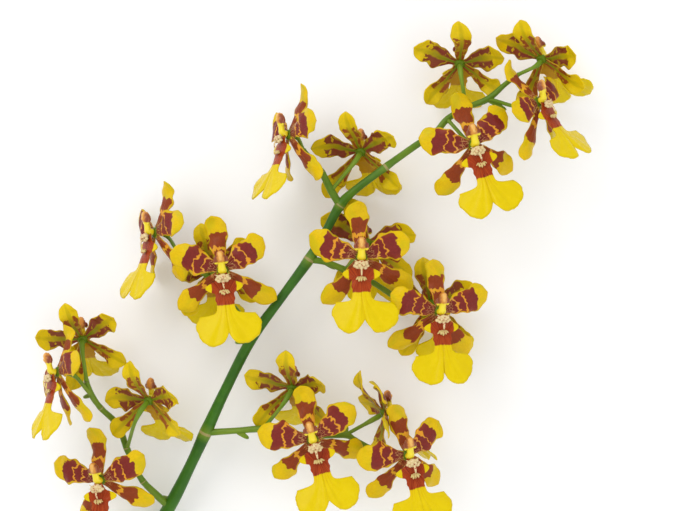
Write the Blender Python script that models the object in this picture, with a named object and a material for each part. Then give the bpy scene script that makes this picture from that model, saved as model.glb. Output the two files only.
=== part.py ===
"""A cut spray of an oncidium orchid, lying on a flat surface.

One arching main stem carries five side branches. Each branch carries stalked blooms. A bloom has
three sepals and two petals on a small receptacle, and in front of it a lip with a crest and the column.
Lengths are millimetres in the functions and become metres in the meshes. +Z is up, away from the surface.
"""

import math
import random

import bpy
from mathutils import Matrix, Vector

METRE = 0.001

# The spray is drawn from the middle of its flowering part, then shifted so that its box is centred
SHIFT = Vector((10.836, 16.619, -0.007))

BLADE = 0.7  # thickness of a sepal, a petal or the lip
JOINT_GAP = 0.3  # clear gap between two nodes that meet
RECEPTACLE_RADIUS = 1.7
RECEPTACLE_BACK = -1.3
RECEPTACLE_FRONT = 0.6
ROOT_REACH = 1.1  # how far from the middle of the receptacle a floral leaf begins
STALK_END = RECEPTACLE_BACK - JOINT_GAP
STALK_RADIUS = 0.7
OVARY_RADIUS = 0.95
STEM_SIDES = 8
STALK_SIDES = 6
CREST_SIDES = 5

# Outlines of the floral leaves: share of the length, half width, height towards the front
DORSAL_SEPAL = [(0.0, 0.5, 0.0), (0.25, 1.4, -1.3), (0.52, 2.8, -2.6), (0.82, 3.1, -2.7), (1.0, 0.5, -1.6)]
PETAL = [(0.0, 0.5, 0.0), (0.25, 2.1, 0.3), (0.53, 4.1, 0.6), (0.84, 3.7, -0.2), (1.0, 0.6, -1.3)]
SIDE_SEPAL = [(0.0, 0.5, 0.0), (0.25, 1.3, -1.3), (0.52, 2.4, -3.0), (0.82, 2.8, -5.1), (1.0, 0.5, -6.5)]
LENGTHS = {"dorsal": 15.0, "petal": 15.1, "side": 17.0}
# Each floral leaf: outline, length, angle from straight up (clockwise from the front), how far its edges roll back
FLORAL_LEAVES = [
    (DORSAL_SEPAL, LENGTHS["dorsal"], 0.0, 0.28),
    (PETAL, LENGTHS["petal"], 74.0, 0.18),
    (PETAL, LENGTHS["petal"], -74.0, 0.18),
    (SIDE_SEPAL, LENGTHS["side"], 137.0, 0.30),
    (SIDE_SEPAL, LENGTHS["side"], -137.0, 0.30),
]

# The lip from its root to its waist: height below the receptacle, half width, height towards the front
LIP_NECK = [(-0.4, 1.0, 1.7), (-2.5, 2.3, 2.1), (-4.3, 5.0, 2.0), (-6.0, 2.6, 2.4), (-8.8, 2.5, 3.0)]
# The rim of the right half of its blade, from the notch round to the shoulder: share across, right, up, front
LIP_RIM = [(0.0, 0.0, -17.0, 5.4), (0.5, 4.3, -21.6, 7.2), (1.0, 9.6, -16.3, 4.4)]
LIP_SHARES = [-1.0, -0.5, 0.0, 0.5, 1.0]
LIP_BEND = (6.5, -10.6, 3.2)  # where the neck turns out into the shoulders: right, up, front
CREST = [(-1.4, 2.2, 1.3), (-2.6, 4.2, 1.7), (-6.1, 3.4, 1.0)]  # up, front, radius
COLUMN = [(0.0, 0.9, 1.3), (0.3, 2.2, 1.3), (2.2, 2.8, 1.1), (3.8, 3.2, 1.7), (5.9, 3.5, 0.7)]  # up, front, radius

# Each bloom: place of its receptacle, turn to the right (0 faces up from the surface, 180 faces down onto it),
# lift towards the stem's tip, roll in the plane of the spray, size, how many degrees its floral leaves are turned
# and how long they are beside the usual length
BLOOMS = {
    "01": ((33.3, 58.4, 17.8), 180, 35, 0, 0.95, (10, -1, -5, 0, 18), (1.0, 1.0, 0.88, 1.0, 0.8)),
    "02": ((58.2, 59.8, 17.5), 148, 30, 15, 0.95, (10, -20, -20, 0, 0), (1.0, 1.0, 0.72, 1.0, 0.9)),
    "03": ((36.9, 33.0, 30.0), 8, -3, 15, 1.03, (-1, -12, 7, -14, 12), (1.0, 0.86, 1.0, 0.82, 0.95)),
    "04": ((56.4, 46.0, 26.0), 50, 0, 22, 0.95, (0, 0, -20, 0, -15), (1.0, 1.0, 0.8, 1.0, 1.0)),
    "05": ((-18.6, 36.6, 19.0), -62, 8, 0, 1.0, (0, 0, 0, 0, 0), (1.0, 1.0, 0.9, 1.0, 0.9)),
    "06": ((3.3, 31.6, 17.9), 162, 33, 2, 0.95, (4, 3, 10, -5, 5), (1.0, 1.0, 0.85, 1.0, 0.9)),
    "07": ((3.4, -0.4, 33.0), 0, -6, 0, 1.04, (-6, -5, 2, -12, 0), (1.0, 0.9, 1.0, 1.0, 1.0)),
    "08": ((26.7, -16.6, 29.5), 15, -6, 2, 1.0, (-1, -3, 1, 5, 14), (0.97, 1.0, 1.0, 1.0, 1.0)),
    "09": ((5.1, 3.8, 14.0), 175, 7, 10, 0.95, (8, -28, 0, 0, 1), (1.0, 1.05, 1.0, 1.0, 1.0)),
    "10": ((24.6, -14.8, 13.5), 170, 10, 15, 0.95, (-8, -20, 0, 0, 0), (1.0, 1.0, 1.0, 1.0, 1.0)),
    "11": ((-37.8, -4.4, 31.0), 0, -6, 6, 1.03, (-4, -15, 10, -7, 10), (1.0, 0.92, 1.0, 1.0, 1.0)),
    "12": ((-41.9, -4.6, 15.5), 180, 14, 2, 0.93, (3, 14, 19, 6, 19), (1.0, 0.8, 1.0, 0.9, 1.0)),
    "13": ((-59.6, 7.0, 15.0), -58, 4, -1, 1.0, (0, 0, 0, 0, 0), (1.0, 1.0, 1.0, 1.0, 1.0)),
    "14": ((-81.4, -25.4, 16.5), 180, 32, 6, 0.92, (8, 5, 16, 26, 23), (1.0, 0.96, 0.86, 0.9, 0.85)),
    "15": ((-87.4, -34.8, 27.4), -58, 4, 3, 0.95, (0, 0, -38, 0, -22), (0.93, 1.0, 0.9, 1.0, 1.0)),
    "16": ((-60.6, -43.6, 22.0), 154, 30, -1, 0.92, (10, 8, -3, -12, 11), (1.0, 1.0, 0.7, 1.0, 0.85)),
    "17": ((-75.3, -67.6, 22.0), -18, -6, 5, 1.0, (-5, -9, 9, -15, -8), (1.0, 1.0, 1.0, 1.0, 1.0)),
    "18": ((-17.4, -40.0, 20.0), 164, 33, -2, 0.93, (8, -3, -4, -15, 10), (1.0, 1.0, 0.78, 0.95, 0.9)),
    "19": ((-11.1, -54.8, 30.0), 3, -6, 15, 1.03, (4, -10, 8, -14, 21), (1.0, 0.96, 1.0, 0.9, 0.9)),
    "20": ((10.6, -48.0, 15.6), 105, 10, 18, 0.95, (0, 0, 25, 0, 37), (1.0, 1.0, 1.0, 1.0, 1.0)),
    "21": ((17.4, -59.8, 25.9), 18, -6, 12, 1.0, (-1, -15, -5, 0, 2), (1.0, 0.88, 1.0, 0.9, 0.92)),
}

# Stems: points of the middle line with the radius there
MAIN_STEM = [
    (-69.6, -102.4, 2.07, 2.1), (-62.7, -89.2, 4.6, 1.9), (-54.8, -75.8, 8.0, 2.0),
    (-48.8, -64.0, 11.0, 1.7), (-44.2, -54.2, 13.5, 1.9), (-38.0, -41.0, 15.5, 1.6),
    (-29.9, -25.4, 17.4, 1.6), (-20.4, -12.2, 18.4, 1.4), (-12.4, -1.2, 19.0, 1.6),
    (-7.3, 7.4, 19.4, 1.3), (-3.0, 15.2, 19.8, 1.5), (1.6, 19.8, 21.6, 1.2), (10.7, 26.6, 22.9, 1.15),
    (19.4, 32.9, 20.9, 1.15), (25.8, 37.2, 20.4, 1.1), (29.4, 41.2, 20.2, 1.15),
    (35.1, 44.7, 19.8, 1.0), (41.6, 47.3, 20.0, 1.3), (46.5, 51.4, 21.3, 0.95), (50.3, 54.4, 20.2, 0.8),
]
BRANCHES = {
    "branch_1": [
        (-56.4, -77.0, 7.8, 1.2), (-60.0, -73.4, 9.2, 1.15), (-63.6, -69.4, 10.8, 0.95),
        (-65.7, -65.2, 12.4, 1.0), (-68.4, -59.0, 12.6, 0.95), (-71.1, -51.8, 13.6, 1.0),
        (-75.9, -46.4, 16.4, 0.85), (-78.4, -42.2, 18.8, 0.95), (-79.8, -38.2, 19.4, 0.75),
    ],
    "branch_2": [
        (-44.2, -54.2, 13.5, 1.1), (-34.5, -53.4, 15.4, 0.95), (-26.4, -52.8, 17.0, 1.05),
        (-18.0, -54.0, 18.0, 0.85), (-9.6, -54.6, 18.8, 0.9), (-1.5, -54.4, 19.4, 1.0),
        (1.4, -55.8, 19.4, 0.8), (5.4, -58.0, 19.0, 0.8),
    ],
    "branch_3": [
        (-29.9, -25.4, 17.4, 1.1), (-33.0, -18.8, 18.4, 0.95), (-38.4, -12.2, 19.2, 1.0),
        (-42.6, -7.0, 19.8, 0.85), (-48.0, -2.0, 19.8, 0.8), (-52.2, 1.4, 19.2, 0.75),
    ],
    "branch_4": [
        (-12.4, -1.2, 19.0, 1.1), (-7.5, -2.0, 19.2, 0.95), (-1.5, -4.4, 19.4, 1.0),
        (6.9, -8.2, 19.6, 0.85), (14.4, -13.0, 20.0, 0.9), (19.5, -15.2, 20.6, 0.75),
    ],
    "branch_5": [
        (-3.0, 15.2, 19.8, 1.2), (-5.7, 19.6, 20.2, 1.15), (-8.5, 25.1, 20.4, 1.0),
        (-11.2, 28.6, 20.4, 0.8), (-14.0, 31.8, 20.0, 0.7),
    ],
}
# Which stem each bloom's stalk grows from, at which point of its middle line, and how long it runs before it turns
STALKS = {
    "main_stem": [("01", 16, 0.5), ("02", 19, 0.4), ("03", 15, 0.4), ("04", 17, 0.5)],
    "branch_1": [("14", 8, 0.4), ("15", 7, 0.4), ("16", 4, 0.5), ("17", 3, 0.4)],
    "branch_2": [("18", 2, 0.5), ("19", 4, 0.4), ("20", 5, 0.5), ("21", 7, 0.4)],
    "branch_3": [("13", 5, 0.4), ("11", 2, 0.4), ("12", 2, 0.4)],
    "branch_4": [("07", 2, 0.4), ("09", 2, 0.4), ("08", 5, 0.4), ("10", 4, 0.4)],
    "branch_5": [("05", 4, 0.4), ("06", 1, 0.4)],
}
# Bracts: the stem and the point they sit at, the way they point, length and half width
BRACTS = {
    "main_stem": [
        (17, (0.86, -0.5, 0.1), 6.5, 0.9), (6, (-0.9, -0.2, -0.3), 5.5, 1.2),
        (2, (-0.7, 0.1, -0.6), 6.0, 1.4),
    ],
    "branch_1": [
        (5, (0.8, 0.2, -0.5), 3.4, 0.8), (7, (-0.8, -0.3, -0.4), 3.2, 0.8),
    ],
    "branch_2": [
        (1, (0.8, -0.5, 0.3), 4.4, 1.0), (2, (-0.2, -0.8, -0.5), 3.4, 0.8),
        (5, (0.2, 0.8, -0.5), 3.2, 0.8),
    ],
    "branch_4": [
        (1, (0.8, -0.5, -0.3), 4.0, 1.0),
    ],
    "branch_5": [
        (1, (-0.5, 0.8, 0.3), 4.0, 1.1), (2, (-0.95, 0.3, 0.0), 4.2, 0.8),
    ],
}


def closed_mesh(name, points, faces):
    """An object from points in millimetres and faces that point outwards."""
    mesh = bpy.data.meshes.new(name)
    mesh.from_pydata([Vector(p) * METRE for p in points], [], faces)
    mesh.validate()
    found = bpy.data.objects.new(name, mesh)
    bpy.context.scene.collection.objects.link(found)
    return found


def sheet(name, rows, thickness):
    """A closed blade from a grid of middle points, whose rows run from root to tip; both faces are split alike."""
    last_row, last_column = len(rows) - 1, len(rows[0]) - 1

    def normal(i, j):
        along = rows[min(i + 1, last_row)][j] - rows[max(i - 1, 0)][j]
        across = rows[i][min(j + 1, last_column)] - rows[i][max(j - 1, 0)]
        return across.cross(along).normalized()

    width = last_column + 1
    middle = [(rows[i][j], normal(i, j)) for i in range(last_row + 1) for j in range(width)]
    points = [p + n * thickness / 2 for p, n in middle] + [p - n * thickness / 2 for p, n in middle]
    back = len(middle)
    faces = []
    for i in range(last_row):
        for j in range(last_column):
            a, b, c, d = i * width + j, i * width + j + 1, (i + 1) * width + j + 1, (i + 1) * width + j
            pair = [(a, b, c), (a, c, d)] if j * 2 >= last_column else [(a, b, d), (b, c, d)]
            faces += pair
            faces += [tuple(back + k for k in reversed(face)) for face in pair]
    rim = [j for j in range(width)]
    rim += [i * width + last_column for i in range(1, last_row + 1)]
    rim += [last_row * width + j for j in range(last_column - 1, -1, -1)]
    rim += [i * width for i in range(last_row - 1, 0, -1)]
    for k, here in enumerate(rim):
        there = rim[(k + 1) % len(rim)]
        faces += [(here, back + here, there), (there, back + here, back + there)]
    return closed_mesh(name, points, faces)


def tube(name, line, radii, sides, end_turn=None):
    """A closed tube along a line of points, with flat ends."""
    points, faces = [], []
    count = len(line)
    side = None
    for k, (centre, radius) in enumerate(zip(line, radii)):
        ahead = (line[min(k + 1, count - 1)] - line[max(k - 1, 0)]).normalized()
        if k == count - 1 and end_turn is not None:
            ahead = end_turn
        side = ahead.orthogonal() if side is None else side - ahead * side.dot(ahead)
        side.normalize()
        other = ahead.cross(side)
        for s in range(sides):
            turn = 2 * math.pi * s / sides
            points.append(centre + (side * math.cos(turn) + other * math.sin(turn)) * radius)
    for k in range(count - 1):
        for s in range(sides):
            a, b = k * sides + s, k * sides + (s + 1) % sides
            faces += [(a, b, b + sides), (a, b + sides, a + sides)]
    faces.append(tuple(range(sides - 1, -1, -1)))
    faces.append(tuple((count - 1) * sides + s for s in range(sides)))
    return closed_mesh(name, points, faces)


def smooth_line(stops, steps):
    """Points with their radii on a smooth curve through the stops, each with x, y, z and radius."""
    found = []
    for k in range(len(stops) - 1):
        p = [Vector(stops[min(max(k + d, 0), len(stops) - 1)]) for d in (-1, 0, 1, 2)]
        for s in range(steps):
            t = s / steps
            found.append(
                0.5 * ((2 * p[1]) + (p[2] - p[0]) * t + (2 * p[0] - 5 * p[1] + 4 * p[2] - p[3]) * t * t
                       + (3 * p[1] - p[0] - 3 * p[2] + p[3]) * t**3)
            )
    found.append(Vector(stops[-1]))
    return [Vector(f[:3]) + SHIFT for f in found], [f[3] for f in found]


def bezier(start, start_hand, end_hand, end, count):
    """Points on a cubic curve."""
    found = []
    for k in range(count + 1):
        t = k / count
        u = 1 - t
        found.append(start * u**3 + start_hand * 3 * t * u * u + end_hand * 3 * t * t * u + end * t**3)
    return found


def joined(name, pieces, material):
    """One object that is the union of the pieces."""
    first, rest = pieces[0], pieces[1:]
    helpers = bpy.data.collections.new(name + "_pieces")
    for piece in rest:
        bpy.context.scene.collection.objects.unlink(piece)
        helpers.objects.link(piece)
    bpy.context.scene.collection.children.link(helpers)
    union = first.modifiers.new("union", "BOOLEAN")
    union.operation = "UNION"
    union.operand_type = "COLLECTION"
    union.collection = helpers
    union.solver = "MANIFOLD"
    apply_modifiers(first)
    for piece in rest:
        bpy.data.objects.remove(piece)
    bpy.data.collections.remove(helpers)
    first.name = name
    first.data.name = name
    first.data.materials.clear()
    first.data.materials.append(material)
    return first


def apply_modifiers(target):
    """Bakes the modifiers of an object into its mesh."""
    graph = bpy.context.evaluated_depsgraph_get()
    graph.update()
    mesh = bpy.data.meshes.new_from_object(target.evaluated_get(graph))
    target.modifiers.clear()
    target.data = mesh


def cut_clear(target, line, radii, sides):
    """Takes a tube, fatter than a neighbouring stem by the joint gap, out of an object."""
    cutter = tube("cutter", line, [r + JOINT_GAP for r in radii], sides)
    cut = target.modifiers.new("clear", "BOOLEAN")
    cut.operation = "DIFFERENCE"
    cut.object = cutter
    cut.solver = "MANIFOLD"
    apply_modifiers(target)
    bpy.data.objects.remove(cutter)


def finish(name, colour, roughness):
    """A plain plant surface."""
    material = bpy.data.materials.new(name)
    material.use_nodes = True
    shader = material.node_tree.nodes["Principled BSDF"]
    shader.inputs["Base Color"].default_value = (*colour, 1.0)
    shader.inputs["Roughness"].default_value = roughness
    shader.inputs["Metallic"].default_value = 0.0
    return material


def bloom_place(number):
    """The matrix that takes a bloom's own right, up and front to the spray, in millimetres."""
    centre, turn, lift, roll, size = BLOOMS[number][:5]
    rotation = (
        Matrix.Rotation(math.radians(roll), 4, "Z")
        @ Matrix.Rotation(math.radians(turn), 4, "Y")
        @ Matrix.Rotation(math.radians(-lift), 4, "X")
    )
    return Matrix.Translation(Vector(centre) + SHIFT) @ rotation @ Matrix.Scale(size, 4)


def bloom_habit(number):
    """How each floral leaf of a bloom differs from the next one: turn in degrees, length, bend and wave."""
    draw = random.Random(int(number) * 7 + 3)
    turns, lengths = BLOOMS[number][5:]
    habits = []
    for turn, long in zip(turns, lengths):
        habits.append((turn, long, draw.uniform(-0.8, 0.8), draw.uniform(0, 2 * math.pi)))
    return habits


def floral_leaf(name, place, outline, length, angle, roll_back, habit):
    """A sepal or a petal: its root sits inside the receptacle."""
    turn, long, bend, phase = habit
    heading = math.radians(angle + turn)
    outward = Vector((math.sin(heading), math.cos(heading), 0))
    sideways = Vector((math.cos(heading), -math.sin(heading), 0))
    rows = []
    for share, half_width, height in outline:
        row = []
        for f in (-1.0, 0.0, 1.0):
            wave = 0.25 * half_width * share * math.sin(phase + 6.0 * share) * f
            rise = height + bend * share * share - roll_back * half_width * f * f + wave
            reach = ROOT_REACH + length * long * share
            row.append(place @ (outward * reach + sideways * (f * half_width) + Vector((0, 0, rise))))
        rows.append(row)
    return sheet(name, rows, BLADE)


def tepals(number, material):
    """The five floral leaves of a bloom on their receptacle."""
    place = bloom_place(number)
    line = [place @ Vector((0, 0, RECEPTACLE_BACK)), place @ Vector((0, 0, RECEPTACLE_FRONT))]
    pieces = [tube("receptacle", line, [RECEPTACLE_RADIUS] * 2, STALK_SIDES)]
    for (outline, length, angle, roll_back), habit in zip(FLORAL_LEAVES, bloom_habit(number)):
        pieces.append(floral_leaf("leaf", place, outline, length, angle, roll_back, habit))
    return joined(f"bloom_{number}_tepals", pieces, material)


def lip_rows():
    """The grid of the lip in the bloom's own frame: the neck's rows, then rows that fan out to the rim."""
    rows = [[Vector((f * w, up, front - 0.12 * w * f * f)) for f in LIP_SHARES] for up, w, front in LIP_NECK]
    waist = rows[-1]
    rim = []
    for f in LIP_SHARES:
        _, right, up, front = next(stop for stop in LIP_RIM if stop[0] == abs(f))
        rim.append(Vector((math.copysign(right, f), up, front)))
    right, up, front = LIP_BEND
    bend = [Vector((f * right, up, front)) for f in LIP_SHARES]
    for g in (0.55, 1.0):
        rows.append([a * (1 - g) ** 2 + b * 2 * g * (1 - g) + c * g * g for a, b, c in zip(waist, bend, rim)])
    return rows


def lip(number, material):
    """The lip of a bloom with the crest on its neck and the column above it."""
    place = bloom_place(number)
    crest = [place @ Vector((0, up, front)) for up, front, _ in CREST]
    column = [place @ Vector((0, up, front)) for up, front, _ in COLUMN]
    pieces = [
        sheet("blade", [[place @ p for p in row] for row in lip_rows()], BLADE),
        tube("crest", crest, [r for _, _, r in CREST], CREST_SIDES),
        tube("column", column, [r for _, _, r in COLUMN], CREST_SIDES),
    ]
    return joined(f"bloom_{number}_lip", pieces, material)


def stalk(number, start, reach):
    """A bloom's stalk, from the middle of a stem to the back of the receptacle. It thickens to the ovary."""
    place = bloom_place(number)
    end = place @ Vector((0, 0, STALK_END))
    back = (place.to_3x3() @ Vector((0, 0, -1))).normalized()
    span = (end - start).length
    towards = (end - start).normalized()
    line = bezier(start, start + towards * span * 0.3, end + back * span * reach, end, 4)
    radii = [STALK_RADIUS, STALK_RADIUS, STALK_RADIUS, OVARY_RADIUS, OVARY_RADIUS]
    return tube("stalk", line, radii, STALK_SIDES, end_turn=-back)


def bract(base, pointing, length, half_width):
    """A small pointed scale whose root is sunk in the stem."""
    ahead = Vector(pointing).normalized()
    side = ahead.cross(Vector((0, 0, 1))).normalized()
    rows = [
        [base + ahead * (share * length) + side * (f * half_width * wide) for f in (-1.0, 1.0)]
        for share, wide in ((0.0, 0.7), (0.45, 1.0), (1.0, 0.2))
    ]
    return sheet("bract", rows, BLADE)


def stem(name, stops, steps, sides, material):
    """A stem with the stalks and bracts that grow from it, as one piece."""
    line, radii = smooth_line(stops, steps)
    pieces = [tube(name, line, radii, sides)]
    for number, at, reach in STALKS.get(name, []):
        pieces.append(stalk(number, line[at * steps], reach))
    for at, pointing, length, half_width in BRACTS.get(name, []):
        pieces.append(bract(line[at * steps], pointing, length, half_width))
    return joined(name, pieces, material)


def main():
    for found in list(bpy.data.objects):
        bpy.data.objects.remove(found)
    green = finish("stem_green", (0.10, 0.26, 0.02), 0.45)
    barred = finish("tepal_yellow_brown", (0.46, 0.17, 0.02), 0.4)
    yellow = finish("lip_yellow", (0.83, 0.66, 0.01), 0.4)
    stem("main_stem", MAIN_STEM, 1, STEM_SIDES, green)
    clear_line, clear_radii = smooth_line(MAIN_STEM, 1)
    for name, stops in BRANCHES.items():
        branch = stem(name, stops, 1, STALK_SIDES, green)
        cut_clear(branch, clear_line, clear_radii, STEM_SIDES)
    for number in BLOOMS:
        tepals(number, barred)
        lip(number, yellow)


main()
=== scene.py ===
"""A cut spray of an oncidium orchid, seen from straight above as it lies on a pale surface.

Each bloom is drawn in a frame of its own, in millimetres: right, up towards its dorsal sepal, and front.
"""

import math
import random

import bpy
import numpy as np
from mathutils import Matrix, Vector


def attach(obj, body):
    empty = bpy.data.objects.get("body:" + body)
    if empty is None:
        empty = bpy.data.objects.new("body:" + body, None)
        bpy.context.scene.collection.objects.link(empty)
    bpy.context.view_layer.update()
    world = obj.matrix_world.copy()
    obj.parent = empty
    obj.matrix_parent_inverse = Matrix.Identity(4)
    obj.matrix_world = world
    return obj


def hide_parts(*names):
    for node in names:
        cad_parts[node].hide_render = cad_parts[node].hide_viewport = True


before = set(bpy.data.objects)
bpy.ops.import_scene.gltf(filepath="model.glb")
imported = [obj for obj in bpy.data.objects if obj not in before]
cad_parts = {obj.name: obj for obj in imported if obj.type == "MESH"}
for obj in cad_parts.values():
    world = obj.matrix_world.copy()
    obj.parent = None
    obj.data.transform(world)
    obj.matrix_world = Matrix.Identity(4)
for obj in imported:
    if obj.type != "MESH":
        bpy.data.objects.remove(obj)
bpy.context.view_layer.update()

METRE = 0.001
SHIFT = Vector((10.836, 16.619, -0.007))  # the photo's middle, seen from the middle of the part's base
BLOOM_PLANE = 25.0  # height of most blooms above the surface
PIXEL = 0.30  # millimetres in the photo, at that height
PHOTO_WIDTH = 700

# Outlines of the floral leaves: share of the length, half width, height towards the front
DORSAL_SEPAL = [
    (0.0, 0.9, 0.0), (0.12, 1.4, -0.7), (0.25, 1.8, -1.3), (0.5, 2.5, -2.5),
    (0.72, 3.1, -2.9), (0.88, 2.7, -2.5), (0.96, 1.6, -2.0), (1.0, 0.15, -1.6),
]
PETAL = [
    (0.0, 0.9, 0.0), (0.12, 1.5, 0.2), (0.25, 2.5, 0.3), (0.45, 3.6, 0.6),
    (0.66, 3.9, 0.4), (0.84, 3.4, -0.3), (0.94, 2.2, -0.8), (1.0, 0.15, -1.3),
]
SIDE_SEPAL = [
    (0.0, 0.9, 0.0), (0.12, 1.1, -0.6), (0.25, 1.4, -1.3), (0.5, 2.2, -2.9),
    (0.72, 3.0, -4.4), (0.88, 2.6, -5.6), (0.96, 1.4, -6.2), (1.0, 0.15, -6.5),
]
# Each floral leaf: outline, length, angle from straight up (clockwise from the front),
# how far its edges roll back, material
FLORAL_LEAVES = [
    (DORSAL_SEPAL, 15.0, 0.0, 0.28, "sepal"),
    (PETAL, 15.1, 74.0, 0.18, "petal"),
    (PETAL, 15.1, -74.0, 0.18, "petal"),
    (SIDE_SEPAL, 17.0, 137.0, 0.30, "sepal"),
    (SIDE_SEPAL, 17.0, -137.0, 0.30, "sepal"),
]
LEAF_ROWS = 30
LEAF_COLUMNS = 17
LEAF_THICKNESS = 0.5
LEAF_THINNER_EDGE = 0.2
LEAST_HALF_WIDTH = 0.12
ROOT_REACH = 0.9  # from the bloom's middle to the root of a floral leaf
# The receptacle: front, radius
RECEPTACLE = [(-1.3, 0.9), (-1.1, 1.3), (-0.6, 1.6), (0.0, 1.65), (0.4, 1.5), (0.6, 1.1)]
STALK_END = -1.6  # how far behind the bloom its stalk ends, inside the receptacle's back

# The lip's neck: up, half width, front. Its side lobes are the widest stops
LIP_NECK = [
    (-0.4, 1.0, 1.7), (-1.9, 1.8, 2.0), (-2.8, 2.4, 2.1), (-3.5, 4.0, 2.0), (-4.2, 5.1, 2.0),
    (-5.0, 5.3, 2.1), (-5.7, 4.4, 2.3), (-6.3, 2.9, 2.4), (-7.2, 2.65, 2.6), (-8.1, 2.85, 2.8),
    (-9.0, 2.5, 3.0),
]
# The rim of the right half of the lip's blade, from the notch round to the shoulder:
# share across, right, up, front
LIP_RIM = [
    (0.0, 0.0, -17.2, 5.4), (0.14, 1.2, -19.4, 6.9), (0.32, 3.6, -20.8, 7.2), (0.52, 6.5, -20.2, 6.6),
    (0.70, 8.8, -17.9, 5.3), (0.86, 9.5, -15.2, 4.0), (1.0, 8.1, -12.7, 3.0),
]
LIP_BEND = (2.6, -12.2, 3.4)  # where the neck turns out into the shoulders: right, up, front
LIP_SWAY = {"04": 0.8, "07": 1.1, "08": -0.5, "11": 0.3, "15": 2.2}  # how far a blade leans to the right
LIP_MIDDLE = (0.0, -14.0)  # the point that the scallops of the rim move out from: right, up
LIP_ROWS = 34  # of the neck, and again of the blade
LIP_COLUMNS = 57
LIP_THICKNESS = 0.42

# The column's middle line with its radius: up, front, radius
COLUMN = [
    (0.0, 0.9, 1.3), (0.3, 2.2, 1.25), (1.6, 2.65, 1.05), (2.6, 2.9, 1.1),
    (3.5, 3.1, 1.55), (4.4, 3.3, 1.5), (5.3, 3.45, 1.1), (6.0, 3.5, 0.5),
]
COLUMN_STEPS = 30
# Balls on the column, in its own right, up and front, with their sizes: two wings, the cap and its beak
COLUMN_BALLS = [
    ((-1.45, 3.3, 3.1), (0.75, 1.15, 0.35)), ((1.45, 3.3, 3.1), (0.75, 1.15, 0.35)),
    ((0, 4.9, 3.9), (1.15, 1.25, 0.95)), ((0, 3.9, 4.4), (0.45, 0.7, 0.5)),
]
# Knobs of the crest: place and size. Those of the second list stand on both sides
MIDDLE_KNOBS = [
    ((0, -1.5, 3.2), (1.3, 1.0, 0.9)), ((0, -2.5, 3.3), (0.9, 0.8, 0.8)), ((0, -5.8, 2.9), (1.1, 0.5, 0.5)),
]
SIDE_KNOBS = [
    ((1.2, -1.5, 3.4), (0.75, 0.65, 0.65)), ((1.75, -2.2, 3.3), (0.6, 0.5, 0.5)),
    ((1.1, -2.6, 3.5), (0.65, 0.55, 0.55)), ((0.6, -2.0, 4.0), (0.5, 0.5, 0.45)),
]
# Fingers of the crest: start, end and radius. Those of the second list stand on both sides
MIDDLE_FINGERS = [((0, -2.4, 4.0), (0.1, -5.0, 4.2), 0.30), ((0, -5.4, 3.1), (0, -6.8, 3.4), 0.34)]
SIDE_FINGERS = [
    ((0.6, -5.5, 3.1), (0.8, -6.6, 3.4), 0.34), ((0.9, -5.4, 3.0), (1.5, -6.2, 3.2), 0.30),
    ((0.9, -1.2, 3.4), (2.0, -0.6, 3.6), 0.28),
]

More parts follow.
